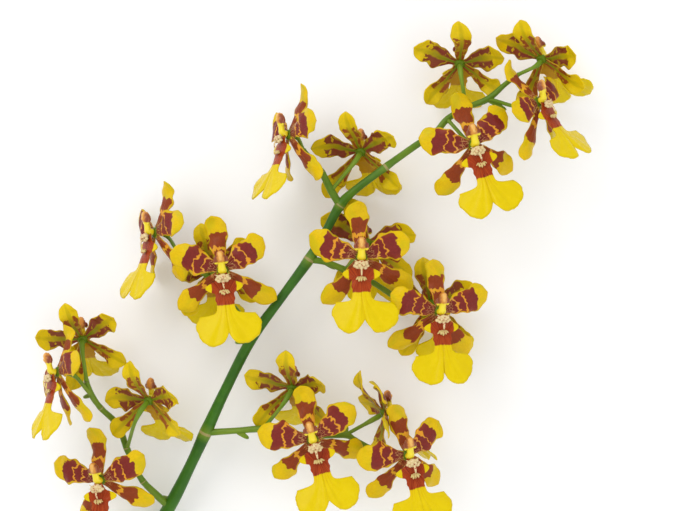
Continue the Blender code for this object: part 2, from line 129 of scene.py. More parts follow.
# Each bloom: place of its receptacle, turn to the right (0 faces up from the surface, 180 down onto it),
# lift towards the stem's tip, roll in the plane of the spray, size, how many degrees its floral leaves
# are turned and how long they are beside the usual length
BLOOMS = {
    "01": ((33.3, 58.4, 17.8), 180, 35, 0, 0.95, (-1, -4, -5, 0, 18), (1.0, 1.0, 0.88, 0.86, 0.8)),
    "02": ((58.2, 59.8, 17.5), 148, 30, 15, 0.95, (-2, -31, -31, 0, 0), (1.0, 1.0, 0.72, 1.0, 0.9)),
    "03": ((36.9, 33.0, 30.0), 8, -3, 15, 1.03, (-1, -18, 3, -6, 1), (1.0, 0.86, 1.0, 0.82, 0.95)),
    "04": ((56.4, 46.0, 26.0), 50, 0, 22, 0.95, (-12, 0, -20, 0, -15), (1.0, 1.0, 0.8, 1.0, 1.0)),
    "05": ((-18.6, 36.6, 19.0), -62, 8, 0, 1.0, (0, 0, 0, 0, 0), (1.0, 1.0, 0.9, 1.0, 0.9)),
    "06": ((3.3, 31.6, 17.9), 162, 33, 2, 0.95, (4, 3, 10, -5, 5), (1.0, 1.0, 0.85, 1.0, 0.9)),
    "07": ((3.4, -0.4, 33.0), 0, -6, 0, 1.04, (-6, -5, 2, -12, -9), (1.0, 0.9, 1.0, 1.0, 1.0)),
    "08": ((26.7, -16.6, 29.5), 15, -6, 2, 1.0, (-1, -3, 1, 5, 6), (0.97, 1.0, 1.0, 1.0, 1.0)),
    "09": ((5.1, 3.8, 14.0), 175, 7, 10, 0.95, (8, -28, -12, 0, 1), (1.0, 1.05, 1.0, 1.0, 1.0)),
    "10": ((24.6, -14.8, 13.5), 170, 10, 15, 0.95, (-8, -20, -12, 0, -10), (1.0, 1.0, 1.0, 1.0, 1.0)),
    "11": ((-37.8, -4.4, 31.0), 0, -6, 6, 1.03, (-4, -15, 10, -7, 10), (1.0, 0.92, 1.0, 1.0, 1.0)),
    "12": ((-41.9, -4.6, 15.5), 180, 14, 2, 0.93, (12, 14, 19, 6, 19), (1.06, 0.8, 1.0, 0.9, 1.0)),
    "13": ((-59.6, 7.0, 15.0), -58, 4, -1, 1.0, (0, 0, 0, 0, 0), (1.0, 1.0, 1.0, 1.0, 1.0)),
    "14": ((-81.4, -25.4, 16.5), 180, 32, 6, 0.92, (14, 10, 16, 26, 17), (1.0, 0.96, 0.86, 0.9, 0.85)),
    "15": ((-87.4, -34.8, 27.4), -58, 4, 3, 0.95, (0, 0, -38, 14, -22), (0.93, 1.0, 0.9, 1.0, 1.0)),
    "16": ((-60.6, -43.6, 22.0), 154, 30, -1, 0.92, (10, 14, -3, -12, 11), (1.0, 1.0, 0.7, 1.0, 0.85)),
    "17": ((-75.3, -67.6, 22.0), -18, -6, 5, 1.0, (-5, -4, 2, -10, -8), (1.0, 1.0, 1.0, 0.92, 1.0)),
    "18": ((-17.4, -40.0, 20.0), 164, 33, -2, 0.93, (-3, 2, -4, -5, 10), (1.0, 1.0, 0.7, 0.95, 0.9)),
    "19": ((-11.1, -54.8, 30.0), 3, -6, 15, 1.03, (4, -10, 6, -14, 10), (1.0, 0.96, 1.0, 0.9, 0.9)),
    "20": ((10.6, -48.0, 15.6), 105, 10, 18, 0.95, (0, 0, 25, 0, 37), (1.0, 1.0, 1.0, 1.0, 1.0)),
    "21": ((17.4, -59.8, 25.9), 18, -6, 12, 1.0, (-1, -15, -5, 0, 2), (1.0, 0.88, 1.0, 0.9, 0.92)),
}

# Stems: points of the middle line with the radius there
STEMS = {
    "main_stem": [
        (-69.6, -102.4, 2.07, 2.1), (-62.7, -89.2, 4.6, 1.9), (-54.8, -75.8, 8.0, 2.0),
        (-48.8, -64.0, 11.0, 1.7), (-44.2, -54.2, 13.5, 1.9), (-38.0, -41.0, 15.5, 1.6),
        (-29.9, -25.4, 17.4, 1.6), (-20.4, -12.2, 18.4, 1.4), (-12.4, -1.2, 19.0, 1.6),
        (-7.3, 7.4, 19.4, 1.3), (-3.0, 15.2, 19.8, 1.5), (1.6, 19.8, 21.6, 1.2),
        (10.7, 26.6, 22.9, 1.1), (19.4, 32.9, 20.9, 1.05), (25.8, 37.2, 20.4, 1.0),
        (29.4, 41.2, 20.2, 1.0), (35.1, 44.7, 19.8, 0.85), (41.6, 47.3, 20.0, 1.0),
        (46.5, 51.4, 21.3, 0.78), (50.3, 54.4, 20.2, 0.7),
    ],
    "branch_1": [
        (-56.4, -77.0, 7.8, 1.2), (-60.0, -73.4, 9.2, 1.15), (-63.6, -69.4, 10.8, 0.95),
        (-65.7, -65.2, 12.4, 1.0), (-68.4, -59.0, 12.6, 0.95), (-71.1, -51.8, 13.6, 1.0),
        (-75.9, -46.4, 16.4, 0.85), (-78.4, -42.2, 18.8, 0.95), (-79.8, -38.2, 19.4, 0.75),
    ],
    "branch_2": [
        (-44.2, -54.2, 13.5, 1.1), (-34.5, -53.4, 15.4, 0.95), (-26.4, -52.8, 17.0, 1.05),
        (-18.0, -54.0, 18.0, 0.85), (-9.6, -54.6, 18.8, 0.9), (-1.5, -54.4, 19.4, 1.0),
        (1.4, -55.8, 19.4, 0.8), (5.4, -58.0, 19.0, 0.8),
    ],
    "branch_3": [
        (-29.9, -25.4, 17.4, 1.1), (-33.0, -18.8, 18.4, 0.95), (-38.4, -12.2, 19.2, 1.0),
        (-42.6, -7.0, 19.8, 0.85), (-48.0, -2.0, 19.8, 0.8), (-52.2, 1.4, 19.2, 0.75),
    ],
    "branch_4": [
        (-12.4, -1.2, 19.0, 1.1), (-7.5, -2.0, 19.2, 0.95), (-1.5, -4.4, 19.4, 1.0),
        (6.9, -8.2, 19.6, 0.85), (14.4, -13.0, 20.0, 0.9), (19.5, -15.2, 20.6, 0.75),
    ],
    "branch_5": [
        (-3.0, 15.2, 19.8, 1.2), (-5.7, 19.6, 20.2, 1.15), (-8.5, 25.1, 20.4, 1.0),
        (-11.2, 28.6, 20.4, 0.8), (-14.0, 31.8, 20.0, 0.7),
    ],
}
# The points of the main stem that have a ring. A branch has one at every other point
MAIN_NODES = (4, 8, 10, 12, 14, 16)
STEM_STEPS = 12  # from one point of a stem to the next
STALK_STEPS = 30
TUBE_SIDES = 18
# A stalk's radius along its length: thin, then thicker where the ovary is
STALK_RADII = [(0, 0.8), (0.06, 0.72), (0.14, 0.58), (0.6, 0.58), (0.8, 0.8), (0.93, 0.85), (1.0, 0.75)]
# Which stem each bloom's stalk grows from, at which point of its middle line,
# and how long it runs before it turns
STALKS = {
    "main_stem": [("01", 16, 0.5), ("02", 19, 0.4), ("03", 15, 0.4), ("04", 17, 0.5)],
    "branch_1": [("14", 8, 0.4), ("15", 7, 0.4), ("16", 4, 0.5), ("17", 3, 0.4)],
    "branch_2": [("18", 2, 0.5), ("19", 4, 0.4), ("20", 5, 0.5), ("21", 7, 0.4)],
    "branch_3": [("13", 5, 0.4), ("11", 2, 0.4), ("12", 2, 0.4)],
    "branch_4": [("07", 2, 0.4), ("09", 2, 0.4), ("08", 5, 0.4), ("10", 4, 0.4)],
    "branch_5": [("05", 4, 0.4), ("06", 1, 0.4)],
}
# Bracts: the point of the stem they sit at, the way they point, length and half width
BRACTS = {
    "main_stem": [
        (17, (0.86, -0.5, 0.1), 6.5, 0.9), (6, (-0.9, -0.2, -0.3), 5.5, 1.2),
        (2, (-0.7, 0.1, -0.6), 6.0, 1.4),
    ],
    "branch_1": [(5, (0.8, 0.2, -0.5), 3.4, 0.8), (7, (-0.8, -0.3, -0.4), 3.2, 0.8)],
    "branch_2": [
        (1, (0.8, -0.5, 0.3), 4.4, 1.0), (2, (-0.2, -0.8, -0.5), 3.4, 0.8), (5, (0.2, 0.8, -0.5), 3.2, 0.8),
    ],
    "branch_4": [(1, (0.8, -0.5, -0.3), 4.0, 1.0)],
    "branch_5": [(1, (-0.5, 0.8, 0.3), 4.0, 1.1), (2, (-0.95, 0.3, 0.0), 4.2, 0.8)],
}
BRACT_ROWS = 14
BRACT_COLUMNS = 9
BRACT_THICKNESS = 0.35
# How pale the green is, from 0 at the foot of the main stem to 1
PALE_FROM = 9  # the point of the main stem where it begins to grow paler
PALE_OVER = 9  # points, until it would be at 1
BRANCH_PALE = 0.65
NODE_PALE = 0.7
STALK_PALE = 0.85
BRACT_PALE = 0.9
NODE_SWELLING = 0.12

# Colours as linear red, green and blue. A pair holds the two ends of a fine mixture
LEAF_YELLOW = ((0.58, 0.36, 0.001), (0.79, 0.56, 0.002))
LEAF_OLIVE = (0.47, 0.42, 0.004)
PETAL_BROWN = (0.19, 0.022, 0.016)
SEPAL_BROWN = (0.25, 0.042, 0.008)
BAR_EDGE = (0.36, 0.07, 0.01)
LINE_NEAR_ROOT = (0.62, 0.34, 0.12)
LINE_FURTHER_OUT = (0.70, 0.31, 0.02)
BACK_YELLOW = ((0.60, 0.43, 0.002), (0.80, 0.58, 0.003))
BACK_ROOT = (0.36, 0.22, 0.004)
BACK_VEIN = (0.26, 0.20, 0.003)
RIB_GREEN = ((0.070, 0.17, 0.002), (0.34, 0.27, 0.002))
LEAF_FOOT = (0.10, 0.17, 0.006)
LIP_YELLOW = ((0.64, 0.465, 0.0), (0.73, 0.56, 0.0))
# Painted shade: darker lines where faint folds fan out from the lip's waist
LIP_PLEAT_SHADE = (0.62, 0.36, 0.0)
# Painted shade: a darker line down the middle crease of the lip's blade
LIP_CREASE_SHADE = (0.58, 0.40, 0.0)
WAIST_RED = ((0.37, 0.050, 0.008), (0.20, 0.016, 0.004))
WAIST_STREAK = (0.60, 0.17, 0.04)
LIP_BACK = ((0.64, 0.48, 0.0), (0.74, 0.57, 0.0))
WAIST_BACK = (0.38, 0.15, 0.01)
COLUMN_YELLOW = ((0.76, 0.58, 0.004), (0.86, 0.72, 0.01))
CAP_ORANGE = ((0.62, 0.24, 0.02), (0.24, 0.045, 0.008))
BEAK_ORANGE = (0.80, 0.46, 0.10)
CREST_CREAM = ((0.58, 0.40, 0.15), (0.80, 0.68, 0.40))
COMB_YELLOW = (0.58, 0.44, 0.10)
CREST_SPOT = (0.42, 0.05, 0.02)
STEM_GREEN = ((0.019, 0.090, 0.002), (0.038, 0.145, 0.003))
BRANCH_GREEN = ((0.115, 0.23, 0.006), (0.22, 0.30, 0.016))
STREAK_GREEN = ((0.07, 0.20, 0.008), (0.34, 0.43, 0.05))
STEM_MARK = (0.10, 0.09, 0.008)
NODE_RING = (0.36, 0.28, 0.11)
FLOOR_PALE = (0.95, 0.95, 0.95)
WHITE = (1.0, 1.0, 1.0, 1.0)

# Bars of brown on the floral leaves: where each starts and ends along the leaf. Lines that cross them:
# place and half width. Where the web of fine lines at the root ends
PETAL_MARKS = ([(0.03, 0.74)], [(0.50, 0.010), (0.32, 0.011)], 0.25)
SEPAL_MARKS = ([(0.06, 0.33), (0.39, 0.67)], [(0.36, 0.022)], 0.2)
BAR_SOFTNESS = 0.006
LINE_SOFTNESS = 0.012

# Lamps: place in metres, size in metres, power in watts
LAMPS = {"key": ((-0.55, 0.60, 0.80), 0.8, 4.9), "fill": ((0.65, -0.55, 0.85), 1.2, 3.0)}
AIM = Vector((0, 0, 0.02))  # what both lamps point at
SKY_STRENGTH = 0.88
FLOOR_SIZE = 6.0  # metres
LENS = 100.0  # millimetres, in front of a sensor of the next width
SENSOR_WIDTH = 36.0


class Maker:
    """Builds one shader tree: nodes by type, settings and sockets."""

    def __init__(self, name):
        self.material = bpy.data.materials.new(name)
        self.material.use_nodes = True
        self.tree = self.material.node_tree
        self.shader = self.tree.nodes["Principled BSDF"]

    def node(self, kind, settings=None, **sockets):
        """Adds a node. Underscores in socket names stand for spaces."""
        made = self.tree.nodes.new(kind)
        for key, value in (settings or {}).items():
            setattr(made, key, value)
        for key, value in sockets.items():
            self.join(value, made.inputs[key.replace("_", " ")])
        return made

    def join(self, value, socket):
        """Feeds a socket with a number of the tree, another socket or a plain value."""
        if isinstance(value, Number):
            value = value.socket
        if isinstance(value, bpy.types.NodeSocket):
            self.tree.links.new(value, socket)
        else:
            socket.default_value = value

    def parts(self, attribute):
        """The three numbers of a vector attribute of the mesh."""
        vector = self.node("ShaderNodeAttribute", {"attribute_name": attribute}).outputs["Vector"]
        split = self.node("ShaderNodeSeparateXYZ", Vector=vector)
        return [Number(self, out) for out in split.outputs]

    def vector(self, x, y, z):
        return self.node("ShaderNodeCombineXYZ", X=x, Y=y, Z=z).outputs[0]

    def grain(self, where, scale, detail=2.0, roughness=0.5):
        """Smooth noise from 0 to 1."""
        made = self.node(
            "ShaderNodeTexNoise", Vector=where, Scale=scale, Detail=detail, Roughness=roughness
        )
        return Number(self, made.outputs["Fac"])

    def cells(self, where, scale, feature="F1"):
        """The distance to the middle, or with the other feature to the edge, of irregular cells."""
        made = self.node("ShaderNodeTexVoronoi", {"feature": feature}, Vector=where, Scale=scale)
        return Number(self, made.outputs["Distance"])

    def step(self, value, low, high):
        """0 below low, 1 above high, smooth in between."""
        smooth_way = {"interpolation_type": "SMOOTHSTEP"}
        made = self.node("ShaderNodeMapRange", smooth_way, Value=value, From_Min=low, From_Max=high)
        return Number(self, made.outputs["Result"])

    def mix(self, share, first, second):
        """A colour between two others."""
        made = self.node("ShaderNodeMix", {"data_type": "RGBA"})
        self.join(share, made.inputs[0])
        for value, place in ((first, 6), (second, 7)):
            self.join((*value, 1.0) if isinstance(value, tuple) else value, made.inputs[place])
        return made.outputs[2]

    def bump(self, height, strength, distance):
        made = self.node("ShaderNodeBump", Height=height, Strength=strength, Distance=distance)
        return made.outputs[0]

    def finish(self, **sockets):
        for key, value in sockets.items():
            self.join(value, self.shader.inputs[key.replace("_", " ")])
        return self.material


class Number:
    """A number socket of a shader tree that works in plain sums."""

    def __init__(self, maker, socket):
        self.maker = maker
        self.socket = socket

    def _sum(self, operation, *values):
        made = self.maker.tree.nodes.new("ShaderNodeMath")
        made.operation = operation
        for value, socket in zip(values, made.inputs):
            self.maker.join(value, socket)
        return Number(self.maker, made.outputs[0])

    def __add__(self, other):
        return self._sum("ADD", self, other)

    def __radd__(self, other):
        return self._sum("ADD", other, self)

    def __sub__(self, other):
        return self._sum("SUBTRACT", self, other)

    def __rsub__(self, other):
        return self._sum("SUBTRACT", other, self)

    def __mul__(self, other):
        return self._sum("MULTIPLY", self, other)

    def __rmul__(self, other):
        return self._sum("MULTIPLY", other, self)

    def __truediv__(self, other):
        return self._sum("DIVIDE", self, other)

    def __abs__(self):
        return self._sum("ABSOLUTE", self)

    def most(self, other):
        return self._sum("MAXIMUM", self, other)


def between(make, value, low, high, softness):
    """1 from low to high, 0 outside."""
    rise = make.step(value, low - softness, low + softness)
    return rise * (1.0 - make.step(value, high - softness, high + softness))


def shades(colour, *shares):
    """The colour, darker or lighter by each of the shares."""
    return [tuple(share * c for c in colour) for share in shares]


def tepal_skin(name, brown, marks):
    """Skin of a sepal or petal: bars of brown on yellow, crossed by thin lines, with a green rib behind."""
    bars, lines, web_end = marks
    make = Maker(name)
    across, along, side = make.parts("leaf")
    seed = make.parts("vary")[0]
    off_middle = abs(across)
    drift = make.grain(make.vector(across * 0.9, along * 3.0, seed * 31.0), 2.0, 1.5, 0.45) - 0.5
    ragged = make.grain(make.vector(across * 1.7, along * 3.2, seed * 47.0), 2.4, 1.0, 0.35) - 0.5
    tone = make.grain(make.vector(across * 3.0, along * 9.0, seed * 5.0), 2.5, 4.0, 0.6)
    veins = make.step(make.grain(make.vector(across * 9.0, along * 0.8, seed * 3.0), 1.6), 0.35, 0.75)

    # The bars bend back towards the root at the margins, and stop short of them
    arched = along + across * across * 0.05 + drift * 0.18 + ragged * 0.07
    in_bar = between(make, arched, *bars[0], BAR_SOFTNESS)
    for low, high in bars[1:]:
        in_bar = in_bar.most(between(make, arched, low, high, BAR_SOFTNESS))
    margin = make.step(off_middle + drift * 0.6 + ragged * 0.2, 0.86, 0.92)
    in_bar = in_bar * (1.0 - margin * 0.85)

    # Thin lines that swell and thin out, and a web of finer ones at the root
    swell = make.grain(make.vector(across * 1.2, along * 1.5, seed * 61.0), 1.6, 1.0)
    swell = make.step(swell, 0.25, 0.75) * 2.4
    on_line = None
    for middle, half_width in lines:
        from_line = abs(arched + ragged * 0.05 - middle)
        edge = half_width * swell
        line = 1.0 - make.step(from_line, edge, edge + LINE_SOFTNESS)
        on_line = line if on_line is None else on_line.most(line)
    web = make.cells(make.vector(across * 1.6, arched * 6.5, seed * 13.0), 1.9, "DISTANCE_TO_EDGE")
    web = (1.0 - make.step(web, 0.02, 0.07)) * (1.0 - make.step(along, web_end - 0.06, web_end))

    shade = make.grain(make.vector(across * 0.8, along * 2.0, seed * 23.0), 1.3, 1.0)
    yellow = make.mix(make.step(shade, 0.45, 0.75) * 0.5, make.mix(tone, *LEAF_YELLOW), LEAF_OLIVE)
    dark = make.mix(tone, *shades(brown, 0.66, 1.3))
    dark = make.mix(make.step(off_middle, 0.5, 1.0) * 0.35, dark, BAR_EDGE)
    line_tint = make.mix(make.step(along, web_end - 0.1, web_end + 0.1), LINE_NEAR_ROOT, LINE_FURTHER_OUT)
    front = make.mix(in_bar, yellow, dark)
    front = make.mix((on_line * 0.95).most(web * 0.8), front, line_tint)

    # Behind, the bars are broken into blotches on both sides of the rib
    broken = make.grain(make.vector(across * 0.8, along * 4.2, seed * 37.0), 2.6, 1.0)
    blotch = in_bar * make.step(broken, 0.36, 0.42) * make.step(off_middle + drift * 0.5, 0.14, 0.38)
    back = make.mix(make.step(along, 0.35, 0.8), BACK_ROOT, make.mix(tone, *BACK_YELLOW))
    back = make.mix(blotch * 0.95, back, make.mix(tone, *shades(brown, 0.7, 1.3)))
    back = make.mix(veins * 0.1, back, BACK_VEIN)
    rib = 1.0 - make.step(off_middle + drift * 0.35, 0.06, 0.34)
    back = make.mix(rib * (1.0 - along * 0.75) * 0.9, back, make.mix(along, *RIB_GREEN))

    colour = make.mix(side, front, back)
    colour = make.mix((1.0 - make.step(along, 0.0, 0.09)) * 0.7, colour, LEAF_FOOT)
    relief = make.grain(make.vector(across * 7.0, along * 22.0, seed), 3.0, 3.0, 0.6) * 0.6 + veins * 0.5
    return make.finish(
        Base_Color=colour, Roughness=0.26 + tone * 0.2, Normal=make.bump(relief, 0.4, 0.00025),
        Subsurface_Weight=0.08, Subsurface_Radius=(0.0012, 0.0006, 0.0002), Subsurface_Scale=1.0,
        Specular_IOR_Level=0.1, Coat_Weight=0.08, Coat_Roughness=0.1,
    )


def lip_skin():
    """Skin of the lip: a clear yellow blade, a streaked red-brown waist and yellow tips on its side lobes."""
    make = Maker("lip_skin")
    right, up, side = make.parts("leaf")
    seed = make.parts("vary")[0]
    off_middle = abs(right)
    where = make.vector(right * 0.5, up * 0.5, seed * 19.0)
    drift = make.grain(where, 0.9, 3.0, 0.55) - 0.5
    tone = make.grain(where, 0.6, 5.0, 0.6)
    fan = right / (abs(up + 5.5) + 2.2)  # constant along lines that spread from the waist
    streak = make.grain(make.vector(fan * 26.0, up * 0.12, seed * 7.0), 1.0)
    # Painted shade: darker lines along faint folds that fan out from the waist and fade towards the blade
    pleat_shade = make.step(streak, 0.50, 0.62) * make.step(up, -16.0, -10.0)
    pleat_shade = pleat_shade * (1.0 - make.step(off_middle, 2.0, 3.4))
    # Painted shade: a darker line down the middle crease of the blade, towards the notch
    crease_shade = (1.0 - make.step(off_middle, 0.05, 0.4)) * make.step(up, -17.5, -12.0)
    yellow = make.mix(pleat_shade * 0.5, make.mix(tone, *LIP_YELLOW), LIP_PLEAT_SHADE)
    yellow = make.mix(crease_shade * 0.4, yellow, LIP_CREASE_SHADE)
    waist = make.step(up + drift * 0.9 + streak * 0.4, -9.75, -9.45)
    waist = waist * (1.0 - make.step(off_middle + drift * 1.2, 3.4, 3.7))
    pale_streak = make.step(make.grain(make.vector(fan * 60.0, up * 0.2, seed * 3.0), 1.0, 1.0), 0.60, 0.70)
    pale_streak = pale_streak * 0.45 * (1.0 - make.step(up, -7.6, -6.6))
    red = make.mix(pale_streak, make.mix(make.step(streak, 0.42, 0.66), *WAIST_RED), WAIST_STREAK)
    front = make.mix(waist, yellow, red)
    back = make.mix(waist * 0.75, make.mix(tone, *LIP_BACK), WAIST_BACK)
    dimples = make.grain(make.vector(right * 2.0, up * 2.0, seed), 2.2, 3.0, 0.6)
    return make.finish(
        Base_Color=make.mix(side, front, back), Roughness=0.20 + tone * 0.14,
        Normal=make.bump(dimples * 0.45 + streak * 0.25, 0.3, 0.0003),
        Subsurface_Weight=0.08, Subsurface_Radius=(0.0012, 0.0009, 0.0001), Subsurface_Scale=1.0,
        Specular_IOR_Level=0.08, Coat_Weight=0.08, Coat_Roughness=0.08,
    )


def column_skin():
    """Skin of the column: yellow below, an orange cap with brown edges above."""
    make = Maker("column_skin")
    right, up, front_way = make.parts("leaf")
    seed = make.parts("vary")[0]
    where = make.vector(right, up, seed)
    drift = make.grain(make.vector(right, up, seed * 11.0), 1.4, 3.0) - 0.5
    cap = make.step(up + drift * 0.8, 2.6, 3.0)
    orange = make.mix(make.step(abs(right) + drift * 1.2, 0.6, 1.3), *CAP_ORANGE)
    colour = make.mix(cap, make.mix(make.grain(where, 2.0), *COLUMN_YELLOW), orange)
    beak = make.step(front_way, 4.2, 4.8) * (1.0 - make.step(abs(right), 0.3, 0.8))
    colour = make.mix(beak * cap * 0.85, colour, BEAK_ORANGE)
    normal = make.bump(make.grain(where, 4.0, 3.0), 0.3, 0.0002)
    return make.finish(
        Base_Color=colour, Roughness=0.34, Normal=normal, Coat_Weight=0.15, Coat_Roughness=0.2
    )


def crest_skin():
    """Skin of the crest: cream with red spots, most of them in its middle, and more yellow below."""
    make = Maker("crest_skin")
    right, up, front_way = make.parts("leaf")
    seed = make.parts("vary")[0]
    where = make.vector(right, up, front_way + seed * 9.0)
    spot = 1.0 - make.step(make.cells(where, 1.5), 0.26, 0.36)
    middle = 1.0 - make.step(abs(right), 0.5, 1.5)
    cream = make.mix(make.grain(where, 2.0, 3.0), *CREST_CREAM)
    cream = make.mix((1.0 - make.step(up, -5.6, -4.6)) * 0.6, cream, COMB_YELLOW)
    colour = make.mix(spot * (0.2 + middle * 0.8), cream, CREST_SPOT)
    normal = make.bump(make.grain(where, 3.0, 3.0), 0.4, 0.0003)
    return make.finish(Base_Color=colour, Roughness=0.42, Normal=normal, Coat_Weight=0.1)


def stem_skin():
    """Skin of stems, stalks and bracts: green with fine lengthwise streaks, and pale rings at the nodes."""
    make = Maker("stem_skin")
    round_way, along, pale = make.parts("leaf")
    seed, ring, _ = make.parts("vary")
    wide = make.step(make.grain(make.vector(seed * 9.0, along * 0.09, 0.0), 1.0, 3.0), 0.3, 0.7)
    streak = make.grain(make.vector(round_way * 2.6, along * 0.12, seed * 5.0), 2.2, 3.0, 0.6)
    mark = make.grain(make.vector(round_way * 1.3, along * 0.8, seed * 3.0), 1.7)
    colour = make.mix(pale, make.mix(wide, *STEM_GREEN), make.mix(wide, *BRANCH_GREEN))
    colour = make.mix(make.step(streak, 0.45, 0.75) * 0.3, colour, make.mix(pale, *STREAK_GREEN))
    colour = make.mix(make.step(mark, 0.68, 0.74) * 0.35, colour, STEM_MARK)
    colour = make.mix(make.step(ring + (streak - 0.5) * 0.5, 0.5, 0.75) * 0.8, colour, NODE_RING)
    return make.finish(
        Base_Color=colour, Roughness=0.34 + streak * 0.2, Normal=make.bump(streak, 0.45, 0.0003),
        Specular_IOR_Level=0.22, Coat_Weight=0.1, Coat_Roughness=0.2,
    )


def smooth(stops, places):
    """A smooth curve through stops, whose first number says where each is, read at the places."""
    stops = np.array(stops, float)
    where, values = stops[:, 0], stops[:, 1:]
    slopes = np.gradient(values, where, axis=0)
    k = np.clip(np.searchsorted(where, places, side="right") - 1, 0, len(where) - 2)
    gap = (where[k + 1] - where[k])[:, None]
    s = (places - where[k])[:, None] / gap
    return (
        (2 * s**3 - 3 * s**2 + 1) * values[k] + (s**3 - 2 * s**2 + s) * gap * slopes[k]
        + (3 * s**2 - 2 * s**3) * values[k + 1] + (s**3 - s**2) * gap * slopes[k + 1]
    )


def evenly(stops):
    """The stops, each with its share of the way in front."""
    return [(k / (len(stops) - 1), *stop) for k, stop in enumerate(stops)]


def bloom_place(number):
    """The matrix that takes a bloom's own right, up and front to the spray, in millimetres."""
    centre, turn, lift, roll, size = BLOOMS[number][:5]
    rotation = (
        Matrix.Rotation(math.radians(roll), 4, "Z")
        @ Matrix.Rotation(math.radians(turn), 4, "Y")
        @ Matrix.Rotation(math.radians(-lift), 4, "X")
    )
    return Matrix.Translation(Vector(centre) + SHIFT) @ rotation @ Matrix.Scale(size, 4)


def bloom_habit(number):
    """How each floral leaf of a bloom differs from the next one: turn in degrees, length, bend and wave."""
    draw = random.Random(int(number) * 7 + 3)
    turns, lengths = BLOOMS[number][5:]
    return [
        (turn, long, draw.uniform(-0.8, 0.8), draw.uniform(0, 2 * math.pi))
        for turn, long in zip(turns, lengths)
    ]


class Skin:
    """Gathers the pieces of one mesh with what their materials read."""

    def __init__(self, place=None):
        self.place = place
        self.points, self.faces, self.leaf, self.vary, self.slots = [], [], [], [], []
        self.count = 0

    def add(self, points, faces, leaf, seed, slot):
        points = np.asarray(points, float).reshape(-1, 3)
        if self.place is not None:
            turn = np.array(self.place)
            points = points @ turn[:3, :3].T + turn[:3, 3]
        self.points.append(points * METRE)
        self.faces += [tuple(int(i) + self.count for i in face) for face in faces]
        self.leaf.append(np.asarray(leaf, float).reshape(-1, 3))
        self.vary.append(np.tile([seed, 0.0, 0.0], (len(points), 1)))
        self.slots += [slot] * len(faces)
        self.count += len(points)

    def piece(self, name, materials):
        mesh = bpy.data.meshes.new(name)
        mesh.from_pydata(np.concatenate(self.points).tolist(), [], self.faces)
        for title, rows in (("leaf", self.leaf), ("vary", self.vary)):
            kept = mesh.attributes.new(title, "FLOAT_VECTOR", "POINT")
            kept.data.foreach_set("vector", np.concatenate(rows).ravel())
        for material in materials:
            mesh.materials.append(material)
        mesh.polygons.foreach_set("material_index", self.slots)
        mesh.shade_smooth()
        found = bpy.data.objects.new(name, mesh)
        bpy.context.scene.collection.objects.link(found)
        return found


def blade(grid, thickness):
    """Points, faces and side (0 front, 1 back) of a thin closed blade round a grid of middle points."""
    rows, columns = grid.shape[:2]
    along = np.gradient(grid, axis=0)
    across = np.gradient(grid, axis=1)
    normal = np.cross(across, along)
    normal /= np.maximum(np.linalg.norm(normal, axis=2, keepdims=True), 1e-9)
    half = thickness[..., None] / 2
    points = np.concatenate([(grid + normal * half).reshape(-1, 3), (grid - normal * half).reshape(-1, 3)])
    back = rows * columns
    faces = []
    for i in range(rows - 1):
        for j in range(columns - 1):
            a = i * columns + j
            b, c, d = a + 1, a + columns + 1, a + columns
            faces += [(a, b, c, d), (back + d, back + c, back + b, back + a)]
    rim = list(range(columns))
    rim += [i * columns + columns - 1 for i in range(1, rows)]
    rim += [(rows - 1) * columns + j for j in range(columns - 2, -1, -1)]
    rim += [i * columns for i in range(rows - 2, 0, -1)]
    for k, here in enumerate(rim):
        there = rim[(k + 1) % len(rim)]
        faces.append((here, back + here, back + there, there))
    return points, faces, np.repeat([0.0, 1.0], back)


def floral_leaf(skin, outline, length, angle, roll_back, habit, seed, slot):
    """A sepal or a petal, with waved edges and a small point at its tip."""
    turn, long, bend, phase = habit
    heading = math.radians(angle + turn)
    share = np.linspace(0, 1, LEAF_ROWS) ** 0.92  # rows lie closer together towards the tip
    width, height = smooth(outline, share).T
    t = share[:, None]
    a = np.linspace(-1, 1, LEAF_COLUMNS)[None, :]
    width = np.maximum(width, LEAST_HALF_WIDTH)[:, None]
    edge = np.abs(a) ** 2.5
    ripple = 0.11 * np.sin(12 * t + phase * 2) * np.sign(a) + 0.07 * np.sin(9 * t + phase * 3)
    ripple = 1 + (ripple + 0.06 * np.sin(27 * t + phase * 5 + a)) * np.sin(np.pi * t)
    wave = 0.25 * width * t * np.sin(phase + 6.0 * t) * a
    ruffle = np.sin(15 * t + 3 * phase + 1.3 * np.sign(a)) * np.sin(np.pi * np.minimum(t * 1.1, 1))
    ruffle = 0.21 * width * edge * ruffle
    crinkle = 0.05 * width * np.sin(23 * t + 2 * phase) * np.cos(2.4 * a + phase)
    keel = -0.22 * np.exp(-((a / 0.13) ** 2)) * (1 - t)
    rise = height[:, None] + bend * t * t - roll_back * width * a * a + wave + ruffle + crinkle + keel
    reach = ROOT_REACH + length * long * t + 0.0 * a
    hook = 1.1 * math.sin(3.1 * phase) * t**7
    sideways = a * width * ripple + 0.35 * np.sin(phase + 5 * t) * t + hook
    right = reach * math.sin(heading) + sideways * math.cos(heading)
    up = reach * math.cos(heading) - sideways * math.sin(heading)
    thickness = (LEAF_THICKNESS - LEAF_THINNER_EDGE * edge) * np.ones_like(t)
    points, faces, side = blade(np.stack([right, up, rise], axis=-1), thickness)
    leaf = np.column_stack([np.tile((a + 0 * t).ravel(), 2), np.tile((t + 0 * a).ravel(), 2), side])
    skin.add(points, faces, leaf, seed, slot)


